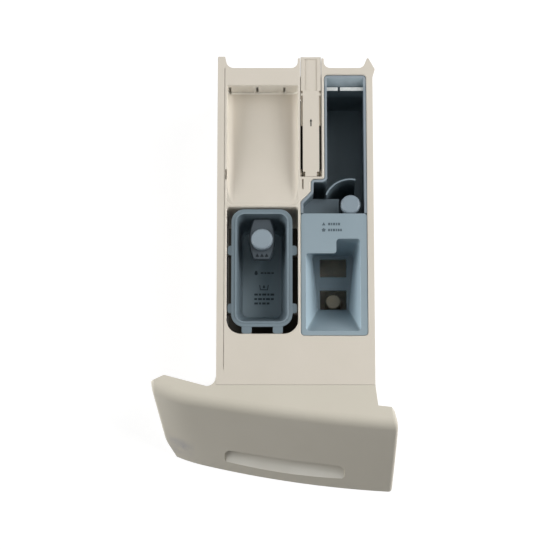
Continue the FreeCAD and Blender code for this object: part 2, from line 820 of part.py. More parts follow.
def detergent_cup():
    rim = rise(cup_section(0.0, cup_lug_seat), cup_rim_thickness)
    bead = rise(cup_section(cup_rim - cup_bead, cup_top), cup_bead_height)
    x, y = cup_siphon
    foot = cup_floor - cup_wall
    top = pipe_end(cup_knob_top - knob_thickness / 2)
    seat = rod(pipe_outer + 2 * pipe_clearance + 2 * cap_wall, x, y, foot, cup_floor + cup_seat)
    cup = cup_bowl(cup_wall).fuse([rim, bead] + cup_lugs())
    mouth = rise(cup_section(cup_rim, cup_top), above)
    cup = cup.cut(cup_bowl(0.0).fuse(mouth))
    cup = cup.fuse([seat, standpipe(x, y, foot, top)])
    return cup.cut(pipe_hole(x, y, foot, top)).removeSplitter()


def boat_plate(inset, z):
    # Outline with bowed sides and straight ends.
    x, y = cup_siphon
    half, end = plate_width / 2 - inset, plate_end / 2 - inset
    near, far = y - plate_near + inset, y + plate_far - inset
    middle = (near + far) / 2
    right = Part.Arc(Vector(x + end, near, z), Vector(x + half, middle, z), Vector(x + end, far, z))
    left = Part.Arc(Vector(x - end, far, z), Vector(x - half, middle, z), Vector(x - end, near, z))
    far_end = Part.LineSegment(right.EndPoint, left.StartPoint)
    near_end = Part.LineSegment(left.EndPoint, right.StartPoint)
    return Part.Wire([side.toShape() for side in (right, far_end, left, near_end)])


def cup_siphon_cap():
    x, y = cup_siphon
    skirt, hollow, notches = cap_body(x, y, cup_floor + cup_seat, cup_knob_top - knob_thickness / 2)
    low = plate_top - plate_thickness
    plate = Part.makeLoft([boat_plate(0.0, low), boat_plate(plate_slope, plate_top)], True, True)
    corners = [edge for edge in plate.Edges if edge.BoundBox.ZLength > plate_thickness / 2]
    plate = plate.makeFillet(plate_corner, corners)
    under = Part.makeLoft([boat_plate(cap_wall, low - cap_wall),
                           boat_plate(plate_slope + cap_wall, plate_top - cap_wall)], True, True)
    cap = plate.cut(under).fuse([skirt, knob(x, y, cup_knob_diameter, cup_knob_top)])
    return cap.cut([hollow] + notches).removeSplitter()


def lever_tongue():
    low = lever_top - lever_thickness
    neck_left, neck_right = channel_mid - lever_neck / 2, channel_mid + lever_neck / 2
    neck_far = lever_near + lever_neck_length
    tongue = rise(plan([
        (neck_left, lever_near, 0),
        (neck_right, lever_near, 0),
        (neck_right, neck_far, 0),
        (lever_right, neck_far, lever_corner),
        (lever_right, head_near, 0),
        (lever_left, head_near, 0),
        (lever_left, neck_far, lever_corner),
        (neck_left, neck_far, 0),
    ], low), lever_thickness)
    flange = box(head_left, head_right, head_near - flange_length, head_near, low, low + flange_thickness)
    stub_near = head_near - stub_setback - lever_stub / 2
    stubs = box(head_left, head_right, stub_near, stub_near + lever_stub, low, lever_top)
    return tongue.fuse([flange, stubs])


def lever_head():
    # Hollow head with a sloping front and a shallow groove along its top.
    low = lever_top - head_depth
    inner_far = lever_far - head_wall
    head = side_prism([
        (head_near, lever_top, 0),
        (head_near, lever_top - lever_thickness, 0),
        (head_near + head_depth, low, head_round),
        (lever_far, low, lever_corner),
        (lever_far, lever_top, lever_corner),
    ], head_left, head_right)
    hollow = side_prism([
        (head_near + head_depth, lever_top - lever_thickness, 0),
        (head_near + head_depth + lever_thickness, low - above, 0),
        (inner_far, low - above, 0),
        (inner_far, lever_top - lever_thickness, 0),
    ], head_left + lever_thickness, head_right - lever_thickness)
    groove = box(channel_mid - head_groove / 2, channel_mid + head_groove / 2, head_near + fit_gap,
                 lever_far - lever_thickness, lever_top - head_groove_depth, lever_top + above)
    return head.cut([hollow, groove])


def lever_hinge():
    # Ribs, knuckle and pins under the tongue.
    low = lever_top - lever_thickness
    parts = []
    for x in (lever_left + rib_thickness, lever_right - 2 * rib_thickness):
        parts.append(side_prism([
            (hinge_y, low, 0),
            (hinge_y, hinge_z - hinge_pin / 2, 0),
            (hinge_y + 2 * hinge_pin, low - lever_rib_depth, 0),
            (head_near, low - lever_rib_depth, 0),
            (head_near, low, 0),
        ], x, x + rib_thickness))
    parts.append(cross_rod(hinge_pin + 2 * rib_thickness, lever_left, lever_right, hinge_y, hinge_z))
    parts.append(box(channel_mid - lever_neck / 2, channel_mid + lever_neck / 2, lever_near,
                     hinge_y + hinge_pin / 2, hinge_z, low))
    reach = body_wall / 2 - pin_gap
    parts.append(cross_rod(hinge_pin, channel_left - reach, channel_right + reach, hinge_y, hinge_z))
    return parts


def release_lever():
    return lever_tongue().fuse([lever_head()] + lever_hinge()).removeSplitter()


def panel_rear():
    # Rear edge of the panel from its right to its left end, the same at every height.
    right_y = panel_left_y - panel_sweep + right_end_depth
    left_y = panel_left_y + left_end_depth
    return [
        (panel_right - panel_right_taper, right_y),
        (panel_right - right_corner_run, right_y + right_corner_rise),
        wing_kink,
        (-panel_left + rear_corner_run, left_y + rear_corner_rise),
        (-panel_left, left_y),
    ]


def between(top, foot, share):
    # Size at a share of the way from the top (0) to the foot (1) of the panel.
    return top + (foot - top) * share


def face_line(share, z):
    # Left and right end of the face's own line, before its left end is bent back.
    left_y = panel_left_y - panel_left_lean * share - between(panel_bend, panel_foot_bend, share)
    right_y = panel_left_y - panel_right_lean * share - panel_sweep
    left = Vector(-panel_left + panel_left_taper * share, left_y, z)
    right = Vector(panel_right - panel_right_taper * share, right_y, z)
    return left, right


def panel_front(share, z):
    # Front edge from left to right: a tangent arc that bends the left end back, then the face's own arc.
    left, right = face_line(share, z)
    outward = (right - left).cross(Vector(0, 0, 1)).normalize()
    middle = (left + right) / 2 + outward * between(panel_top_bulge, panel_foot_bulge, share)
    face = Part.Arc(left, middle, right)
    turn = face.parameterAtDistance(bend_run, face.FirstParameter)
    knee = face.value(turn)
    tip = left + Vector(0, between(panel_bend, panel_foot_bend, share), 0)
    back = Vector(*face.tangent(turn)[0]).negative()
    chord = tip - knee
    heading = (back + Vector(chord).normalize()).normalize()
    halfway = knee + heading * (chord.Length / 2 / math.cos(back.getAngle(heading)))
    crown = face.value((turn + face.LastParameter) / 2)
    return Part.Arc(tip, halfway, knee), Part.Arc(knee, crown, right)


def panel_section(share, z):
    # Outline of the wedge at a share of the way from the top (0) to the foot (1).
    end, face = panel_front(share, z)
    edges = [end.toShape(), face.toShape()]
    chain = [face.EndPoint] + [Vector(x, y, z) for x, y in panel_rear()] + [end.StartPoint]
    for start, stop in zip(chain, chain[1:]):
        edges.append(Part.LineSegment(start, stop).toShape())
    return Part.Wire(edges)


def corner_cutter(inset):
    # Wedge that takes off the lower left corner.
    foot_left = -panel_left + panel_left_taper + inset
    run = corner_cut_across / corner_cut_up
    outer = foot_left - panel_left
    y = -panel_reach
    wire = Part.makePolygon([
        Vector(outer, y, -above),
        Vector(foot_left + corner_cut_across + run * above, y, -above),
        Vector(foot_left + corner_cut_across - run * rim_height, y, rim_height),
        Vector(outer, y, rim_height),
        Vector(outer, y, -above),
    ])
    return Part.Face(wire).extrude(Vector(0, 2 * panel_reach, 0))


def end_edges(wedge, side):
    # Front and top edges of the end wall on the right (1) or left (-1).
    reach, rear_y = panel_right - panel_right_taper, panel_rear()[0][1]
    if side < 0:
        reach, rear_y = panel_left - panel_left_taper, panel_rear()[-1][1]
    found = []
    for edge in wedge.Edges:
        middle, bounds = edge.CenterOfMass, edge.BoundBox
        upright = bounds.ZMax > rim_height / 2 and bounds.XLength < panel_left_taper
        if upright and side * middle.x > reach and middle.y < rear_y - same:
            found.append(edge)
    return found


def panel_wedge():
    # Solid wedge with a rounded top edge, rounded ends and a cut lower left corner.
    wedge = Part.makeLoft([panel_section(1.0, 0.0), panel_section(0.0, rim_height)], True, True)
    wedge = wedge.cut(corner_cutter(0.0))
    brow = [edge for edge in wedge.Edges
            if isinstance(edge.Curve, Part.Circle) and abs(edge.CenterOfMass.z - rim_height) < same]
    wedge = wedge.makeFillet(panel_round, brow)
    wedge = wedge.makeFillet(right_end_round, end_edges(wedge, 1))
    return wedge.makeFillet(left_end_round, end_edges(wedge, -1))


def panel_room(inset):
    # Inside of the panel at a distance from its outer faces, open to the rear.
    top = panel_section(0.0, rim_height).makeOffset2D(-inset)
    foot = panel_section(1.0, 0.0).makeOffset2D(-inset)
    room = Part.makeLoft([foot, top], True, True).cut(corner_cutter(inset))
    room = room.common(box(-panel_left, panel_right, -panel_reach, panel_reach, inset, rim_height - inset))
    opened = room.copy()
    opened.translate(Vector(0, 2 * inset, 0))
    return room.fuse(opened)


def rear_slab(offset, thickness, low, high):
    # Slab in front of the panel's rear edge, moved back by the offset.
    rear = [Vector(x, y + offset, low) for x, y in panel_rear()]
    front = [point - Vector(0, thickness, 0) for point in rear]
    return Part.Face(Part.makePolygon(rear + front[::-1] + rear[:1])).extrude(Vector(0, 0, high - low))


def hood():
    # Top and side walls that bridge the panel and the front wall of the body.
    end = front_face - seam
    front_right = panel_left_y - panel_sweep + right_end_depth
    right = body_half_width + neck_flare
    kink_x, kink_back = wing_kink
    block = rise(plan([
        (-body_half_width, end, 0),
        (body_half_width, end, 0),
        (right, front_right + rear_corner_rise, 0),
        (right, front_right, 0),
        (kink_x, kink_back - panel_skin, 0),
        (kink_x, kink_back, 0),
    ], neck_foot), rim_height - neck_foot)
    inner = box(-body_half_width + panel_skin, body_half_width - panel_skin, -panel_left, above,
                -above, rim_height - panel_skin)
    wedge_room = rear_slab(seam, panel_left, -above, rim_height - panel_skin)
    web_right = -body_half_width - seam
    web_left = web_right - neck_web
    web = box(web_left, web_right, kink_back, kink_back + neck_web, rim_height - lip_height, rim_height)
    rounding = rod(2 * neck_web - 2 * seam, web_left, kink_back + neck_web, 0, rim_height + above)
    return block.cut([inner, wedge_room]), web.cut([rounding, wedge_room])


def grip_section(outset):
    # Side view of the finger recess about the middle of its mouth: undercut above, dished below.
    middle = (grip_low + grip_high) / 2
    lean = panel_left_lean / rim_height
    top = Vector(0, lean * (grip_high - middle) + grip_lip, grip_high)
    foot = Vector(0, lean * (grip_low - middle), grip_low)
    inward = Vector(0, top.z - foot.z, foot.y - top.y).normalize()
    hollow = (top + foot) / 2 + inward * grip_dish
    outer = [foot, Vector(0, -panel_left, grip_low), Vector(0, -panel_left, grip_high), top]
    edges = [Part.Arc(top, hollow, foot).toShape()]
    for start, stop in zip(outer, outer[1:]):
        edges.append(Part.LineSegment(start, stop).toShape())
    face = Part.Face(Part.Wire(edges))
    return face.makeOffset2D(outset) if outset else face


def grip_prism(outset):
    # Finger recess across the lower part of the face, square to the face in plan.
    share = 1.0 - (grip_low + grip_high) / 2 / rim_height
    line_left, line_right = face_line(share, 0)
    slope = (line_left.y - line_right.y) / (line_right.x - line_left.x)
    left, right = grip_left - outset, grip_right + outset
    low, high = grip_low - outset, grip_high + outset
    corners = [(left, low), (right, low), (right, high), (left, high)]
    wire = loop([(Vector(x, -panel_left, z), grip_end + outset) for x, z in corners])
    scoop = grip_section(outset).extrude(Vector(right - left, 0, 0))
    scoop.translate(Vector(left, 0, 0))
    prism = Part.Face(wire).extrude(Vector(0, 2 * panel_left, 0)).common(scoop)
    prism.rotate(Vector(0, 0, 0), Vector(0, 0, 1), -math.degrees(math.atan(slope)))
    face_y = line_left.y + slope * line_left.x - between(panel_top_bulge, panel_foot_bulge, share)
    prism.translate(Vector(0, face_y, 0))
    return prism


def front_panel():
    wedge = panel_wedge()
    shell = wedge.cut(panel_room(panel_skin))
    pocket = grip_prism(panel_skin).common(wedge)
    block, web = hood()
    panel = shell.fuse([pocket, block, web])
    return panel.cut(grip_prism(0.0)).removeSplitter()


def backing_y(x):
    # Rear face of the backing between the wing's kink and the right corner.
    (right_x, right_y), (left_x, left_y) = panel_rear()[1:3]
    return left_y + (right_y - left_y) * (x - left_x) / (right_x - left_x)


def handle_backing():
    # Bent plate in the open back of the panel, with bosses that stand on the front wall.
    plate = rear_slab(0.0, backing_thickness, 0.0, rim_height).common(panel_room(panel_skin + seam))
    bosses = []
    holes = []
    for x, z in screw_places:
        bosses.append(long_rod(boss_diameter, x, z, backing_y(x) - backing_thickness, front_face))
        holes.append(long_rod(screw_diameter, x, z, half_wall - screw_length - screw_gap, front_face + above))
    return plate.fuse(bosses).cut(holes).removeSplitter()


def panel_screws():
    screws = []
    for x, z in screw_places:
        head = long_rod(screw_head_diameter, x, z, half_wall, half_wall + screw_head_height)
        shank = long_rod(screw_diameter, x, z, half_wall - screw_length, half_wall)
        screws.append(head.fuse(shank))
    return Part.makeCompound(screws)


os.makedirs("parts", exist_ok=True)
pieces = {
    "drawer_body": drawer_body,
    "front_panel": front_panel,
    "handle_backing": handle_backing,
    "panel_screws": panel_screws,
    "release_lever": release_lever,
    "detergent_cup": detergent_cup,
    "cup_siphon_cap": cup_siphon_cap,
    "dispenser_tray": dispenser_tray,
    "hopper_cover": hopper_cover,
    "bleach_siphon_cap": bleach_siphon_cap,
    "softener_siphon_cap": softener_siphon_cap,
}
for name, make in pieces.items():
    shape = make()
    print(name, shape.isValid(), len(shape.Solids), round(shape.Volume), shape.BoundBox)
    shape.exportStep("parts/" + name + ".step")
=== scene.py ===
import bpy
import math
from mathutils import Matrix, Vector


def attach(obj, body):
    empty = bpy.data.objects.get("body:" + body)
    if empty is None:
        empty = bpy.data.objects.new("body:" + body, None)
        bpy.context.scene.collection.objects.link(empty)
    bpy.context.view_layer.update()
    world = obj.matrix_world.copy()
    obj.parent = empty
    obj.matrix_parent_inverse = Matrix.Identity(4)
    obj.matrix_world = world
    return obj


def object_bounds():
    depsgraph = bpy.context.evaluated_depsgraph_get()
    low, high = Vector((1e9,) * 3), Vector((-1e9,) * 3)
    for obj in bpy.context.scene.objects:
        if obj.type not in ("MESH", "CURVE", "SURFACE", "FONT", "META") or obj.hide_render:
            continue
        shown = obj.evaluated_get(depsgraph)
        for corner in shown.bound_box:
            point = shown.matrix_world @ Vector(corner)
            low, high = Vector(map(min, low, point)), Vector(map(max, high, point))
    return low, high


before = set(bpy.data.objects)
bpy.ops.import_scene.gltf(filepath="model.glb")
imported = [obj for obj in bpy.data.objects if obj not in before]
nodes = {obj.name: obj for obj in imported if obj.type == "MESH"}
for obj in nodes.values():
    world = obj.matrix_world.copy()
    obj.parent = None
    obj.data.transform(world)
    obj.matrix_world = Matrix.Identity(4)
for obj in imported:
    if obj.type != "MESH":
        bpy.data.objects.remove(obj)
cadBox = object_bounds()
mm = 0.001
mixFrom, mixTo, mixResult = 6, 7, 2      # the colour sockets of a Mix node
print("frame loaded:", len(nodes), "nodes")


def linear(hexColour):
    channels = [int(hexColour[i:i + 2], 16) / 255 for i in (1, 3, 5)]
    shares = [c / 12.92 if c <= 0.04045 else ((c + 0.055) / 1.055) ** 2.4 for c in channels]
    return (*shares, 1.0)


def addNode(tree, kind, settings=None, links=None):
    node = tree.nodes.new(kind)
    for key, value in (settings or {}).items():
        if isinstance(key, int) or key in node.inputs:
            node.inputs[key].default_value = value
        else:
            setattr(node, key, value)
    for key, socket in (links or {}).items():
        tree.links.new(socket, node.inputs[key])
    return node


def newMaterial(name):
    material = bpy.data.materials.new(name)
    material.use_nodes = True
    tree = material.node_tree
    tree.nodes.clear()
    output = tree.nodes.new("ShaderNodeOutputMaterial")
    return material, tree, output


# Moulded plastics: each one is a tone that drifts over centimetres, a satin skin from the mould's
# texture, edges painted paler (wear and painted highlight), corners painted darker (grime and painted
# shade), and painted shade and light by height in deep chambers.
# Sizes are in mm. The mould's real grain is finer, and is drawn this coarse so that it shows.
ivoryPolypropylene = {   # satin mouldings yellow a little, and show soft cloudy drifts in the tone
    "name": "mouldedPolypropyleneIvory",
    "tone": "#DBD3C7", "drift": "#D2CBBD", "grimeAndShade": "#7D7260", "rubbedAndSheen": "#E4DFD3",
    "driftSize": 45, "grainSize": 0.9, "grainDepth": 0.012, "roughness": 0.46, "ior": 1.49,
    "cornerReach": 4, "cornerGrimeAndShade": 0.22, "edgeRound": 0.5, "edgeWearAndSheen": 0.5,
}
ivoryAbs = {             # the panel is a grained ABS moulding: greyer, finer grain, a touch glossier
    "name": "grainedAbsIvory",
    "tone": "#D6D0C2", "drift": "#CEC8B9", "grimeAndShade": "#7F7868", "rubbedAndSheen": "#E2DED2",
    "driftSize": 60, "grainSize": 0.8, "grainDepth": 0.010, "roughness": 0.42, "ior": 1.53,
    "cornerReach": 3, "cornerGrimeAndShade": 0.06, "edgeRound": 0.6, "edgeWearAndSheen": 0.35,
}
blueGreyPolypropylene = {   # tinted polypropylene: cool, slightly milky, edges painted paler for wear and painted highlight
    "name": "mouldedPolypropyleneBlueGrey",
    "tone": "#94A4AC", "drift": "#8A9AA3", "grimeAndShade": "#333C40", "rubbedAndSheen": "#A9BAC4",
    "driftSize": 35, "grainSize": 0.9, "grainDepth": 0.010, "roughness": 0.42, "ior": 1.49,
    "cornerReach": 4, "cornerGrimeAndShade": 0.45, "edgeRound": 0.5, "edgeWearAndSheen": 0.6,
}
paleBlueCap = {          # the caps are another batch of the same plastic, smoother on their tops
    "name": "mouldedPolypropylenePaleBlue",
    "tone": "#8B99A2", "drift": "#838F98", "grimeAndShade": "#3A4348", "rubbedAndSheen": "#A7B5BD",
    "driftSize": 25, "grainSize": 0.8, "grainDepth": 0.008, "roughness": 0.38, "ior": 1.49,
    "cornerReach": 3, "cornerGrimeAndShade": 0.4, "edgeRound": 0.4, "edgeWearAndSheen": 0.5,
}
mouldedSkin = {          # what all the mouldings share
    "specular": 0.35, "grainStrength": 0.35,
    "glossier": 0.05, "duller": 0.07,          # the roughness drifts this far with the tone
    "edgeFlat": 0.995, "edgeTurned": 0.85,     # rounded normal against the face's own: no paler edge, fully paler edge
    "cornerOpen": 0.5, "cornerShut": 0.05,     # share of open surroundings: no darkening, full darkening
    "blotThin": 0.35, "blotThick": 0.6,        # noise levels between which a blot thickens
    "faceBlend": 0.15,                         # how softly a patch ends on faces that turn away
    "sideFrom": 0.5, "sideFull": 0.9,          # how squarely a wall faces sideways to get the painted light
    "shadeGreen": 0.05, "shadeBlue": 0.1,        # painted shade takes a little less of these than of red
    "driftDetail": 3.0, "blotDetail": 4.0, "grainDetail": 2.0, "edgeSamples": 4, "cornerSamples": 8,
}


def boxMask(tree, split, box, soft):     # 1 inside the box, falling to 0 over its outer soft mm
    mask = None
    for axis, (low, high) in zip("XYZ", box):
        middle, reach = (low + high) / 2, (high - low) / 2
        offset = addNode(tree, "ShaderNodeMath", {"operation": "SUBTRACT", 1: middle * mm},
                         {0: split.outputs[axis]})
        away = addNode(tree, "ShaderNodeMath", {"operation": "ABSOLUTE"}, {0: offset.outputs[0]})
        inside = addNode(tree, "ShaderNodeMapRange",
                         {"From Min": reach * mm, "From Max": (reach - soft) * mm},
                         {"Value": away.outputs[0]})
        if mask:
            inside = addNode(tree, "ShaderNodeMath", {"operation": "MULTIPLY"},
                             {0: mask.outputs[0], 1: inside.outputs[0]})
        mask = inside
    return mask.outputs[0]


# painted shade and light by height: the tone is scaled by a share read off a ramp over Z
def paintLightAndShadeByHeight(tree, split, colour, heightLightAndShade):
    low, high = heightLightAndShade[0][0] * mm, heightLightAndShade[-1][0] * mm
    level = addNode(tree, "ShaderNodeMapRange", {"From Min": low, "From Max": high},
                    {"Value": split.outputs["Z"]})
    heightRamp = addNode(tree, "ShaderNodeValToRGB", None, {"Fac": level.outputs[0]})
    stops = heightRamp.color_ramp.elements
    ready = len(stops)                   # a new ramp already has its two ends
    for index, (height, share) in enumerate(heightLightAndShade):
        spot = (height * mm - low) / (high - low)
        stop = stops[index] if index < ready else stops.new(spot)
        stop.position = spot
        tints = (0.0, mouldedSkin["shadeGreen"], mouldedSkin["shadeBlue"])
        stop.color = [share * (1 + tint * (1 - share)) for tint in tints] + [1.0]
    heightPainted = addNode(tree, "ShaderNodeMix",
                     {"data_type": "RGBA", "blend_type": "MULTIPLY", 0: 1.0},
                     {mixFrom: colour, mixTo: heightRamp.outputs["Color"]})
    return heightPainted.outputs[mixResult]


# painted light: walls that face sideways are painted paler
def paintSideLight(tree, surface, colour, sideLight):
    facing = addNode(tree, "ShaderNodeSeparateXYZ", None, {0: surface.outputs["Normal"]})
    sideways = addNode(tree, "ShaderNodeMath", {"operation": "ABSOLUTE"}, {0: facing.outputs["X"]})
    sideLit = addNode(tree, "ShaderNodeMapRange",
                      {"From Min": mouldedSkin["sideFrom"], "From Max": mouldedSkin["sideFull"],
                       "To Min": 1.0, "To Max": 1.0 + sideLight},
                      {"Value": sideways.outputs[0]})
    paler = addNode(tree, "ShaderNodeVectorMath", {"operation": "SCALE"},
                    {0: colour, "Scale": sideLit.outputs[0]})
    return paler.outputs[0]


def blottedPatch(tree, place, split, surface, colour, patch):
    blots = addNode(tree, "ShaderNodeTexNoise",
                    {"Scale": 1 / (patch["blotSize"] * mm), "Detail": mouldedSkin["blotDetail"]},
                    {"Vector": place.outputs["Object"]})
    amount = addNode(tree, "ShaderNodeMapRange",
                     {"From Min": mouldedSkin["blotThin"], "From Max": mouldedSkin["blotThick"],
                      "To Min": patch["least"], "To Max": patch["most"]},
                     {"Value": blots.outputs["Fac"]})
    inside = boxMask(tree, split, patch["box"], patch["soft"])
    share = addNode(tree, "ShaderNodeMath", {"operation": "MULTIPLY"},
                    {0: inside, 1: amount.outputs[0]})
    if "facing" in patch:
        facing = addNode(tree, "ShaderNodeSeparateXYZ", None, {0: surface.outputs["Normal"]})
        full = patch["facing"] + mouldedSkin["faceBlend"]
        upward = addNode(tree, "ShaderNodeMapRange", {"From Min": patch["facing"], "From Max": full},
                         {"Value": facing.outputs["Z"]})
        share = addNode(tree, "ShaderNodeMath", {"operation": "MULTIPLY"},
                        {0: share.outputs[0], 1: upward.outputs[0]})
    blotted = addNode(tree, "ShaderNodeMix", {"data_type": "RGBA", mixTo: linear(patch["tone"])},
                      {0: share.outputs[0], mixFrom: colour})
    return blotted.outputs[mixResult]


def plastic(settings, heightLightAndShade=(), patches=(), sideLight=0.0):
    # the height table: (height in mm, share of the tone left) from the bottom up; painted shade below
    # 1, painted light above 1
    # patches: places in mm with a tone of their own, blotted, some of them painted light, some painted
    # shade; facing keeps to faces that look up
    # side light: how much paler the walls that face sideways are painted, as painted light
    skin = mouldedSkin
    material, tree, output = newMaterial(settings["name"])
    place = addNode(tree, "ShaderNodeTexCoord")
    split = addNode(tree, "ShaderNodeSeparateXYZ", None, {0: place.outputs["Object"]})
    cloud = addNode(tree, "ShaderNodeTexNoise",
                    {"Scale": 1 / (settings["driftSize"] * mm), "Detail": skin["driftDetail"]},
                    {"Vector": place.outputs["Object"]})
    tone = addNode(tree, "ShaderNodeMix",
                   {"data_type": "RGBA", mixFrom: linear(settings["tone"]),
                    mixTo: linear(settings["drift"])},
                   {0: cloud.outputs["Fac"]})
    edge = addNode(tree, "ShaderNodeBevel",
                   {"samples": skin["edgeSamples"], "Radius": settings["edgeRound"] * mm})
    surface = addNode(tree, "ShaderNodeNewGeometry")
    flat = addNode(tree, "ShaderNodeVectorMath", {"operation": "DOT_PRODUCT"},
                   {0: edge.outputs[0], 1: surface.outputs["Normal"]})
    # edges painted paler: wear, and a painted highlight where rounded edges catch the light
    paleEdgeMask = addNode(tree, "ShaderNodeMapRange",
                  {"From Min": skin["edgeFlat"], "From Max": skin["edgeTurned"],
                   "To Max": settings["edgeWearAndSheen"]},
                  {"Value": flat.outputs["Value"]})
    wornAndSheened = addNode(tree, "ShaderNodeMix", {"data_type": "RGBA", mixTo: linear(settings["rubbedAndSheen"])},
                   {0: paleEdgeMask.outputs[0], mixFrom: tone.outputs[mixResult]})
    colour = wornAndSheened.outputs[mixResult]
    if heightLightAndShade:
        colour = paintLightAndShadeByHeight(tree, split, colour, heightLightAndShade)
    if sideLight:
        colour = paintSideLight(tree, surface, colour, sideLight)
    for patch in patches:
        colour = blottedPatch(tree, place, split, surface, colour, patch)
    # corners darkened by occlusion: grime, and painted shade in corners and creases
    corner = addNode(tree, "ShaderNodeAmbientOcclusion",
                     {"samples": skin["cornerSamples"], "Distance": settings["cornerReach"] * mm})
    cornerShadeMask = addNode(tree, "ShaderNodeMapRange",
                    {"From Min": skin["cornerOpen"], "From Max": skin["cornerShut"],
                     "To Max": settings["cornerGrimeAndShade"]},
                    {"Value": corner.outputs["AO"]})
    grimedAndShaded = addNode(tree, "ShaderNodeMix", {"data_type": "RGBA", mixTo: linear(settings["grimeAndShade"])},
                     {0: cornerShadeMask.outputs[0], mixFrom: colour})
    grain = addNode(tree, "ShaderNodeTexNoise",
                    {"Scale": 1 / (settings["grainSize"] * mm), "Detail": skin["grainDetail"]},
                    {"Vector": place.outputs["Object"]})
    bump = addNode(tree, "ShaderNodeBump",
                   {"Strength": skin["grainStrength"], "Distance": settings["grainDepth"] * mm},
                   {"Height": grain.outputs["Fac"], "Normal": edge.outputs[0]})
    gloss = addNode(tree, "ShaderNodeMapRange",
                    {"To Min": settings["roughness"] - skin["glossier"],
                     "To Max": settings["roughness"] + skin["duller"]},
                    {"Value": cloud.outputs["Fac"]})
    shader = addNode(tree, "ShaderNodeBsdfPrincipled",
                     {"IOR": settings["ior"], "Specular IOR Level": skin["specular"]},
                     {"Base Color": grimedAndShaded.outputs[mixResult], "Roughness": gloss.outputs[0],
                      "Normal": bump.outputs[0]})
    tree.links.new(shader.outputs[0], output.inputs[0])
    return material


zincSteel = {            # zinc-plated screws: bright grey with a faint yellow passivation bloom
    "tone": "#B9B8B0", "bloom": "#A9A48C", "bloomSize": 3, "bloomDetail": 4.0, "roughness": 0.34,
}


def zincPlatedSteel():
    material, tree, output = newMaterial("zincPlatedSteel")
    place = addNode(tree, "ShaderNodeTexCoord")
    cloud = addNode(tree, "ShaderNodeTexNoise",
                    {"Scale": 1 / (zincSteel["bloomSize"] * mm), "Detail": zincSteel["bloomDetail"]},
                    {"Vector": place.outputs["Object"]})
    tone = addNode(tree, "ShaderNodeMix",
                   {"data_type": "RGBA", mixFrom: linear(zincSteel["tone"]),
                    mixTo: linear(zincSteel["bloom"])},
                   {0: cloud.outputs["Fac"]})
    shader = addNode(tree, "ShaderNodeBsdfPrincipled",
                     {"Metallic": 1.0, "Roughness": zincSteel["roughness"]},
                     {"Base Color": tone.outputs[mixResult]})
    tree.links.new(shader.outputs[0], output.inputs[0])
    return material


wellShade = {            # painted shade: the walls of the cup's deep, narrow well painted nearly black
    "box": ((-63.4, 2.9), (45.0, 163.2), (24.0, 79.4)), "soft": 0.4, "tone": "#2B2822",
    "blotSize": 12, "least": 0.8, "most": 0.95,
}
rearWallLight = {           # painted light: the powder compartment's front-facing rear wall painted pale
    "box": ((-62.2, 2.6), (278.0, 282.6), (58.0, 83.2)), "soft": 0.3, "tone": "#F3F0E8",
    "blotSize": 30, "least": 0.7, "most": 0.95,
}
recessLight = {         # painted light: the upward-facing lower half of the finger recess painted pale
    "box": ((-63.0, 44.0), (-86.0, -45.0), (9.0, 28.5)), "soft": 0.4, "tone": "#EFECE2",
    "blotSize": 40, "least": 0.7, "most": 0.9, "facing": 0.55,
}
knockScuff = {           # grey scuff at the panel's lower left, from knocks
    "box": ((-121.0, -90.0), (-58.0, -26.0), (2.0, 31.0)), "soft": 12.0, "tone": "#A6A4A9",
    "blotSize": 9, "least": 0.1, "most": 0.65,
}
softenerChamberLight = {        # painted light: the softener chamber painted near white, so that it shows brown in the shade behind the windows
    "box": ((0.0, 70.0), (40.0, 156.0), (5.0, 44.0)), "soft": 1.0, "tone": "#F2E9D8",
    "blotSize": 9, "least": 0.85, "most": 1.0,
}
soakedCap = {            # the cap under the windows, stained brown all over
    "box": ((20.0, 50.0), (70.0, 105.0), (5.0, 44.0)), "soft": 1.0, "tone": "#9A8E78",
    "blotSize": 7, "least": 0.9, "most": 1.0,
}
chalkedWeir = {          # chalk from hard water on the top of the weir
    "box": ((26.0, 65.0), (275.8, 279.8), (79.8, 82.6)), "soft": 0.3, "tone": "#E2E4E0",
    "blotSize": 6, "least": 0.6, "most": 0.9, "facing": 0.6,
}
rinsedShelf = {          # the inlet shelf stays clean and pale under the running water
    "box": ((26.0, 65.0), (279.8, 288.4), (76.0, 83.4)), "soft": 0.3, "tone": "#A2B0B7",
    "blotSize": 8, "least": 0.7, "most": 0.95,
}
dulledRim = {            # the tray's rim, dulled to a lavender grey
    "box": ((0.0, 70.0), (158.5, 292.0), (82.9, 84.5)), "soft": 0.2, "tone": "#888A92",
    "blotSize": 15, "least": 0.6, "most": 0.85,
}

drawerBody = {"patches": [wellShade, rearWallLight]}
frontPanel = {"patches": [recessLight, knockScuff]}
hopperCover = {          # painted shade at the funnel's foot, and painted light on the funnel's walls that face sideways
    "heightLightAndShade": [(43, 0.55), (47, 0.72), (50, 0.9), (66, 1.0)], "sideLight": 0.52,
}
dispenserTray = {        # painted shade in the chambers, darker towards the bottom, up to the rim
    "heightLightAndShade": [(22, 0.9), (27, 0.55), (60, 0.36), (64, 0.5), (78.5, 0.38), (81.2, 0.95)],
    "patches": [softenerChamberLight, chalkedWeir, rinsedShelf, dulledRim],
}
detergentCup = {         # painted light on the floor, paler than the plastic; painted shade on the walls
    "heightLightAndShade": [(30, 1.6), (36, 1.45), (41, 0.7), (60, 0.5), (76, 0.58), (80.2, 0.6), (81, 0.74)],
}
cupSiphonCap = {         # painted shade on the plate, low in the cup; painted light makes the knob a little paler than its tone
    "heightLightAndShade": [(40, 0.14), (66, 0.18), (72.6, 0.235), (74.5, 0.98), (77, 1.08)],
}
softenerSiphonCap = {"patches": [soakedCap]}

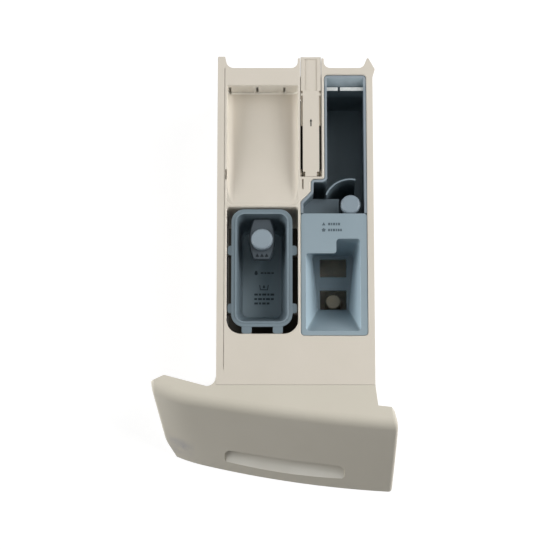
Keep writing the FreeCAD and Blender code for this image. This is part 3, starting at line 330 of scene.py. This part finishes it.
bodyPlastic = plastic(ivoryPolypropylene, **drawerBody)
finishes = {
    "drawer_body": bodyPlastic,
    "release_lever": bodyPlastic,
    "handle_backing": bodyPlastic,
    "front_panel": plastic(ivoryAbs, **frontPanel),
    "hopper_cover": plastic(blueGreyPolypropylene, **hopperCover),
    "dispenser_tray": plastic(blueGreyPolypropylene, **dispenserTray),
    "detergent_cup": plastic(blueGreyPolypropylene, **detergentCup),
    "bleach_siphon_cap": plastic(paleBlueCap),
    "cup_siphon_cap": plastic(paleBlueCap, **cupSiphonCap),
    "softener_siphon_cap": plastic(paleBlueCap, **softenerSiphonCap),
    "panel_screws": zincPlatedSteel(),
}
for nodeName, material in finishes.items():
    mesh = nodes[nodeName].data
    mesh.materials.clear()
    mesh.materials.append(material)
print("materials dressed:", len(finishes), "nodes")


# Pad-printed marks: thin ink shapes that lie on the moulding under them; sizes in mm
printedMarks = {
    "darkInk": ("#14181B", "#262D31"), "greyInk": ("#4E5A61", "#66737A"),
    "fadeSize": 2.5, "fadeDetail": 3.0, "inkRoughness": 0.55, "inkIor": 1.5, "inkSpecular": 0.08,
    "inkHeight": 0.12, "sunk": 0.3,      # above and below the moulding's surface
    "probeHeight": 200,                  # rays that find the surface start here, above the drawer
}


def padPrintInk(ink):                    # matt ink, worn thin in patches
    material, tree, output = newMaterial("padPrinted" + ink[0].upper() + ink[1:])
    fresh, faded = printedMarks[ink]
    place = addNode(tree, "ShaderNodeTexCoord")
    patches = addNode(tree, "ShaderNodeTexNoise",
                      {"Scale": 1 / (printedMarks["fadeSize"] * mm),
                       "Detail": printedMarks["fadeDetail"]},
                      {"Vector": place.outputs["Object"]})
    tone = addNode(tree, "ShaderNodeMix",
                   {"data_type": "RGBA", mixFrom: linear(fresh), mixTo: linear(faded)},
                   {0: patches.outputs["Fac"]})
    shader = addNode(tree, "ShaderNodeBsdfPrincipled",
                     {"Roughness": printedMarks["inkRoughness"], "IOR": printedMarks["inkIor"],
                      "Specular IOR Level": printedMarks["inkSpecular"]},
                     {"Base Color": tone.outputs[mixResult]})
    tree.links.new(shader.outputs[0], output.inputs[0])
    return material


def surfaceHeight(nodeName, x, y):
    part = nodes[nodeName]
    inverse = part.matrix_world.inverted()
    start = inverse @ Vector((x * mm, y * mm, printedMarks["probeHeight"] * mm))
    hit, spot = part.ray_cast(start, inverse.to_3x3() @ Vector((0, 0, -1)))[:2]
    return (part.matrix_world @ spot).z if hit else None


def printMarks(name, nodeName, body, outlines, material):
    verts, faces = [], []
    for outline in outlines:
        first, count = len(verts), len(outline)
        heights = [surfaceHeight(nodeName, x, y) for x, y in outline]
        for lift in (-printedMarks["sunk"], printedMarks["inkHeight"]):
            verts += [(x * mm, y * mm, z + lift * mm) for (x, y), z in zip(outline, heights)]
        faces.append([first + i for i in reversed(range(count))])
        faces.append([first + count + i for i in range(count)])
        for i in range(count):
            after = (i + 1) % count
            faces.append([first + i, first + after, first + count + after, first + count + i])
    mesh = bpy.data.meshes.new(name)
    mesh.from_pydata(verts, [], faces)
    mesh.materials.append(material)
    piece = bpy.data.objects.new(name, mesh)
    bpy.context.scene.collection.objects.link(piece)
    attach(piece, body)


def bar(x, y, width, height, lean=0.0):
    w, h = width / 2, height / 2
    return [(x - w - lean, y - h), (x + w - lean, y - h), (x + w + lean, y + h), (x - w + lean, y + h)]


def dashes(x, y, widths, height, gap):
    row = []
    for width in widths:
        row.append(bar(x + width / 2, y, width, height))
        x += width + gap
    return row


def triangle(x, y, width, height):
    w, h = width / 2, height / 2
    return [(x - w, y - h), (x + w, y - h), (x, y + h)]


def roundOutline(x, y, steps, reachAt):
    outline = []
    for step in range(steps):
        turn = 2 * math.pi * step / steps
        reach = reachAt(turn)
        outline.append((x - reach * math.sin(turn), y + reach * math.cos(turn)))
    return outline


def drop(x, y, radius, tip=0.9, sharpness=6, steps=24):     # a disc drawn out to a tip at the top
    def reachAt(turn):
        return radius * (1.0 + tip * max(0.0, math.cos(turn)) ** sharpness)
    return roundOutline(x, y, steps, reachAt)


def flower(x, y, radius, petals=5, core=0.68, petal=0.32, steps=60):
    def reachAt(turn):
        return radius * (core + petal * abs(math.cos(petals * turn / 2)))
    return roundOutline(x, y, steps, reachAt)


bpy.context.view_layer.update()
darkInk = padPrintInk("darkInk")
greyInk = padPrintInk("greyInk")

coverPrint = {           # on the deck: a sign and a row of dashes for each chamber
    "triangle": (25.6, 148.2, 3.2, 3.0), "flower": (25.6, 142.4, 1.8),
    "rowStart": 29.6, "dashHeight": 2.3, "dashGap": 0.7,
    "rows": ((148.0, (2.0, 1.1, 1.9, 1.2, 1.8)), (142.4, (1.6, 1.2, 2.0, 1.1, 1.6, 1.3))),
}
coverMarks = [triangle(*coverPrint["triangle"]), flower(*coverPrint["flower"])]
for y, widths in coverPrint["rows"]:
    coverMarks += dashes(coverPrint["rowStart"], y, widths,
                         coverPrint["dashHeight"], coverPrint["dashGap"])
printMarks("coverMarks", "hopper_cover", "drawer", coverMarks, greyInk)

fillPrint = {            # on the plate of the cup's cap: three triangles that show how far to fill
    "across": (-34.5, -30.3, -26.1), "along": 121.7, "width": 3.5, "height": 3.4,
}
fillMarks = [triangle(x, fillPrint["along"], fillPrint["width"], fillPrint["height"])
             for x in fillPrint["across"]]
printMarks("fillMarks", "cup_siphon_cap", "drawer", fillMarks, darkInk)

cupPrint = {             # on the cup's floor: a drop with dashes, a tub with a drop, rows of dashes
    "drop": (-35.8, 114.9, 1.5), "dropRow": (-31.6, 115.4, (2.6, 1.8, 3.0, 2.2), 1.3, 0.8),
    "tub": ((-32.2, 101.6, 0.8, 4.6, -0.3), (-25.0, 101.6, 0.8, 4.6, 0.3), (-28.6, 99.2, 7.2, 0.8)),
    "tubDrop": (-28.6, 101.6, 1.0),
    "rowStart": -37.4, "dashHeight": 1.9, "dashGap": 0.9,
    "rows": ((94.6, (3.2, 2.2, 3.8, 2.0, 3.4)), (90.2, (2.6, 3.4, 2.0, 3.6, 2.6)),
             (86.0, (3.4, 2.0, 3.2, 2.6))),
}
cupMarks = [drop(*cupPrint["drop"])] + dashes(*cupPrint["dropRow"])
cupMarks += [bar(*side) for side in cupPrint["tub"]] + [drop(*cupPrint["tubDrop"])]
for y, widths in cupPrint["rows"]:
    cupMarks += dashes(cupPrint["rowStart"], y, widths, cupPrint["dashHeight"], cupPrint["dashGap"])
printMarks("cupMarks", "detergent_cup", "drawer", cupMarks, greyInk)

pressPrint = {"shaft": (14.4, 243.2, 0.9, 4.6), "head": (14.4, 246.8, 2.2, 2.6)}   # arrow on the lever
pressMark = [bar(*pressPrint["shaft"]), triangle(*pressPrint["head"])]
printMarks("pressMark", "release_lever", "lever", pressMark, darkInk)
print("marks printed")


# Floor, room, lamps and camera
stage = {
    "floor": 4.0, "floorDrop": 0.2,      # width in metres, and mm that it lies below the drawer
    "floorTone": "#959595", "lift": 0.81,     # grey paper, lifted to white where it is seen
    "shade": ((-62.5, 65.5), (3, 294)), "shadeSoft": 0.5,     # mm; under the drawer the paper isn't lifted and is painted dark, a painted shadow seen in the drawer's openings
    "shadeTone": "#3A3834",              # and is darker, as it shows through the drawer's openings
    "worldTone": "#EEF1F4", "worldStrength": 0.045, "white": "#FFFFFF",
}


def seenRays(tree, ray):                 # the camera, gloss and glass see the white of the background
    seen = ray.outputs["Is Camera Ray"]
    for kind in ("Is Glossy Ray", "Is Transmission Ray"):
        either = addNode(tree, "ShaderNodeMath", {"operation": "MAXIMUM"},
                         {0: seen, 1: ray.outputs[kind]})
        seen = either.outputs[0]
    return seen


def paleFloor():
    material, tree, output = newMaterial("paperSweep")
    ray = addNode(tree, "ShaderNodeLightPath")
    place = addNode(tree, "ShaderNodeTexCoord")
    split = addNode(tree, "ShaderNodeSeparateXYZ", None, {0: place.outputs["Object"]})
    # painted shadow: under the drawer the paper is darker and is not lifted
    underDrawerShadow = boxMask(tree, split, stage["shade"], stage["shadeSoft"])
    openFloor = addNode(tree, "ShaderNodeMath", {"operation": "SUBTRACT", 0: 1.0}, {1: underDrawerShadow})
    lifted = addNode(tree, "ShaderNodeMath", {"operation": "MULTIPLY"},
                     {0: seenRays(tree, ray), 1: openFloor.outputs[0]})
    strength = addNode(tree, "ShaderNodeMath", {"operation": "MULTIPLY", 1: stage["lift"]},
                       {0: lifted.outputs[0]})
    tone = addNode(tree, "ShaderNodeMix",
                   {"data_type": "RGBA", mixFrom: linear(stage["floorTone"]),
                    mixTo: linear(stage["shadeTone"])},
                   {0: underDrawerShadow})
    paper = addNode(tree, "ShaderNodeBsdfDiffuse", None, {"Color": tone.outputs[mixResult]})
    lift = addNode(tree, "ShaderNodeEmission", {"Color": linear(stage["white"])},
                   {"Strength": strength.outputs[0]})
    both = addNode(tree, "ShaderNodeAddShader", None, {0: paper.outputs[0], 1: lift.outputs[0]})
    side = addNode(tree, "ShaderNodeNewGeometry")
    clear = addNode(tree, "ShaderNodeBsdfTransparent")
    # clear to the eye from below, and to light on its way to the underside
    passing = addNode(tree, "ShaderNodeMath", {"operation": "MAXIMUM"},
                      {0: side.outputs["Backfacing"], 1: ray.outputs["Is Shadow Ray"]})
    sheet = addNode(tree, "ShaderNodeMixShader", None,
                    {0: passing.outputs[0], 1: both.outputs[0], 2: clear.outputs[0]})
    tree.links.new(sheet.outputs[0], output.inputs[0])
    return material


reach = stage["floor"] / 2
floorCorners = [(-reach, -reach, 0), (reach, -reach, 0), (reach, reach, 0), (-reach, reach, 0)]
floorMesh = bpy.data.meshes.new("floor")
floorMesh.from_pydata(floorCorners, [], [(0, 1, 2, 3)])
floor = bpy.data.objects.new("floor", floorMesh)
floor.location.z = cadBox[0].z - stage["floorDrop"] * mm
floorMesh.materials.append(paleFloor())
bpy.context.scene.collection.objects.link(floor)

world = bpy.data.worlds.new("softRoom")
bpy.context.scene.world = world
world.use_nodes = True
tree = world.node_tree
tree.nodes.clear()
ray = addNode(tree, "ShaderNodeLightPath")
room = addNode(tree, "ShaderNodeBackground",
               {"Color": linear(stage["worldTone"]), "Strength": stage["worldStrength"]})
white = addNode(tree, "ShaderNodeBackground", {"Color": linear(stage["white"]), "Strength": 1.0})
pick = addNode(tree, "ShaderNodeMixShader", None,
               {0: seenRays(tree, ray), 1: room.outputs[0], 2: white.outputs[0]})
addNode(tree, "ShaderNodeOutputWorld", None, {0: pick.outputs[0]})

softLight = {            # round diffusers that all face the drawer; places and sizes in metres, watts
    "aim": (0.0, 0.12, 0.05), "size": 1.5,
    "lamps": {
        "softboxLeft": ((-1.530, -0.068, 0.768), 21.4),     # two low softboxes across the drawer
        "softboxRight": ((1.541, 0.12, 0.768), 20),
        "fillRearLeft": ((-1.428, 0.697, 0.768), 7.8),
        "fillHighRight": ((1.191, 0.541, 1.188), 14.6),
        "fillBelow": ((0.1, 0.0, -1.5), 7),                 # for the underside
    },
}
for name, (spot, watts) in softLight["lamps"].items():
    data = bpy.data.lights.new(name, "AREA")
    data.shape = "DISK"
    data.size = softLight["size"]
    data.energy = watts
    lamp = bpy.data.objects.new(name, data)
    lamp.location = spot
    beam = Vector(softLight["aim"]) - Vector(spot)
    lamp.rotation_euler = beam.to_track_quat("-Z", "Y").to_euler()
    bpy.context.scene.collection.objects.link(lamp)

view = {                 # the photograph's viewing angle, 15 degrees off straight down
    "sensorMm": 36.0, "lensMm": 174.545, "cameraMm": (-18.45, -521.17, 2402.22), "tiltDeg": 15,
    "farMetres": 20.0,
}
cameraData = bpy.data.cameras.new("viewCamera")
cameraData.sensor_width = view["sensorMm"]
cameraData.lens = view["lensMm"]
cameraData.clip_end = view["farMetres"]
camera = bpy.data.objects.new("viewCamera", cameraData)
camera.location = [c * mm for c in view["cameraMm"]]
camera.rotation_euler = (math.radians(view["tiltDeg"]), 0, 0)
bpy.context.scene.collection.objects.link(camera)
bpy.context.scene.camera = camera
bpy.context.scene.view_settings.view_transform = "Standard"
print("stage set")
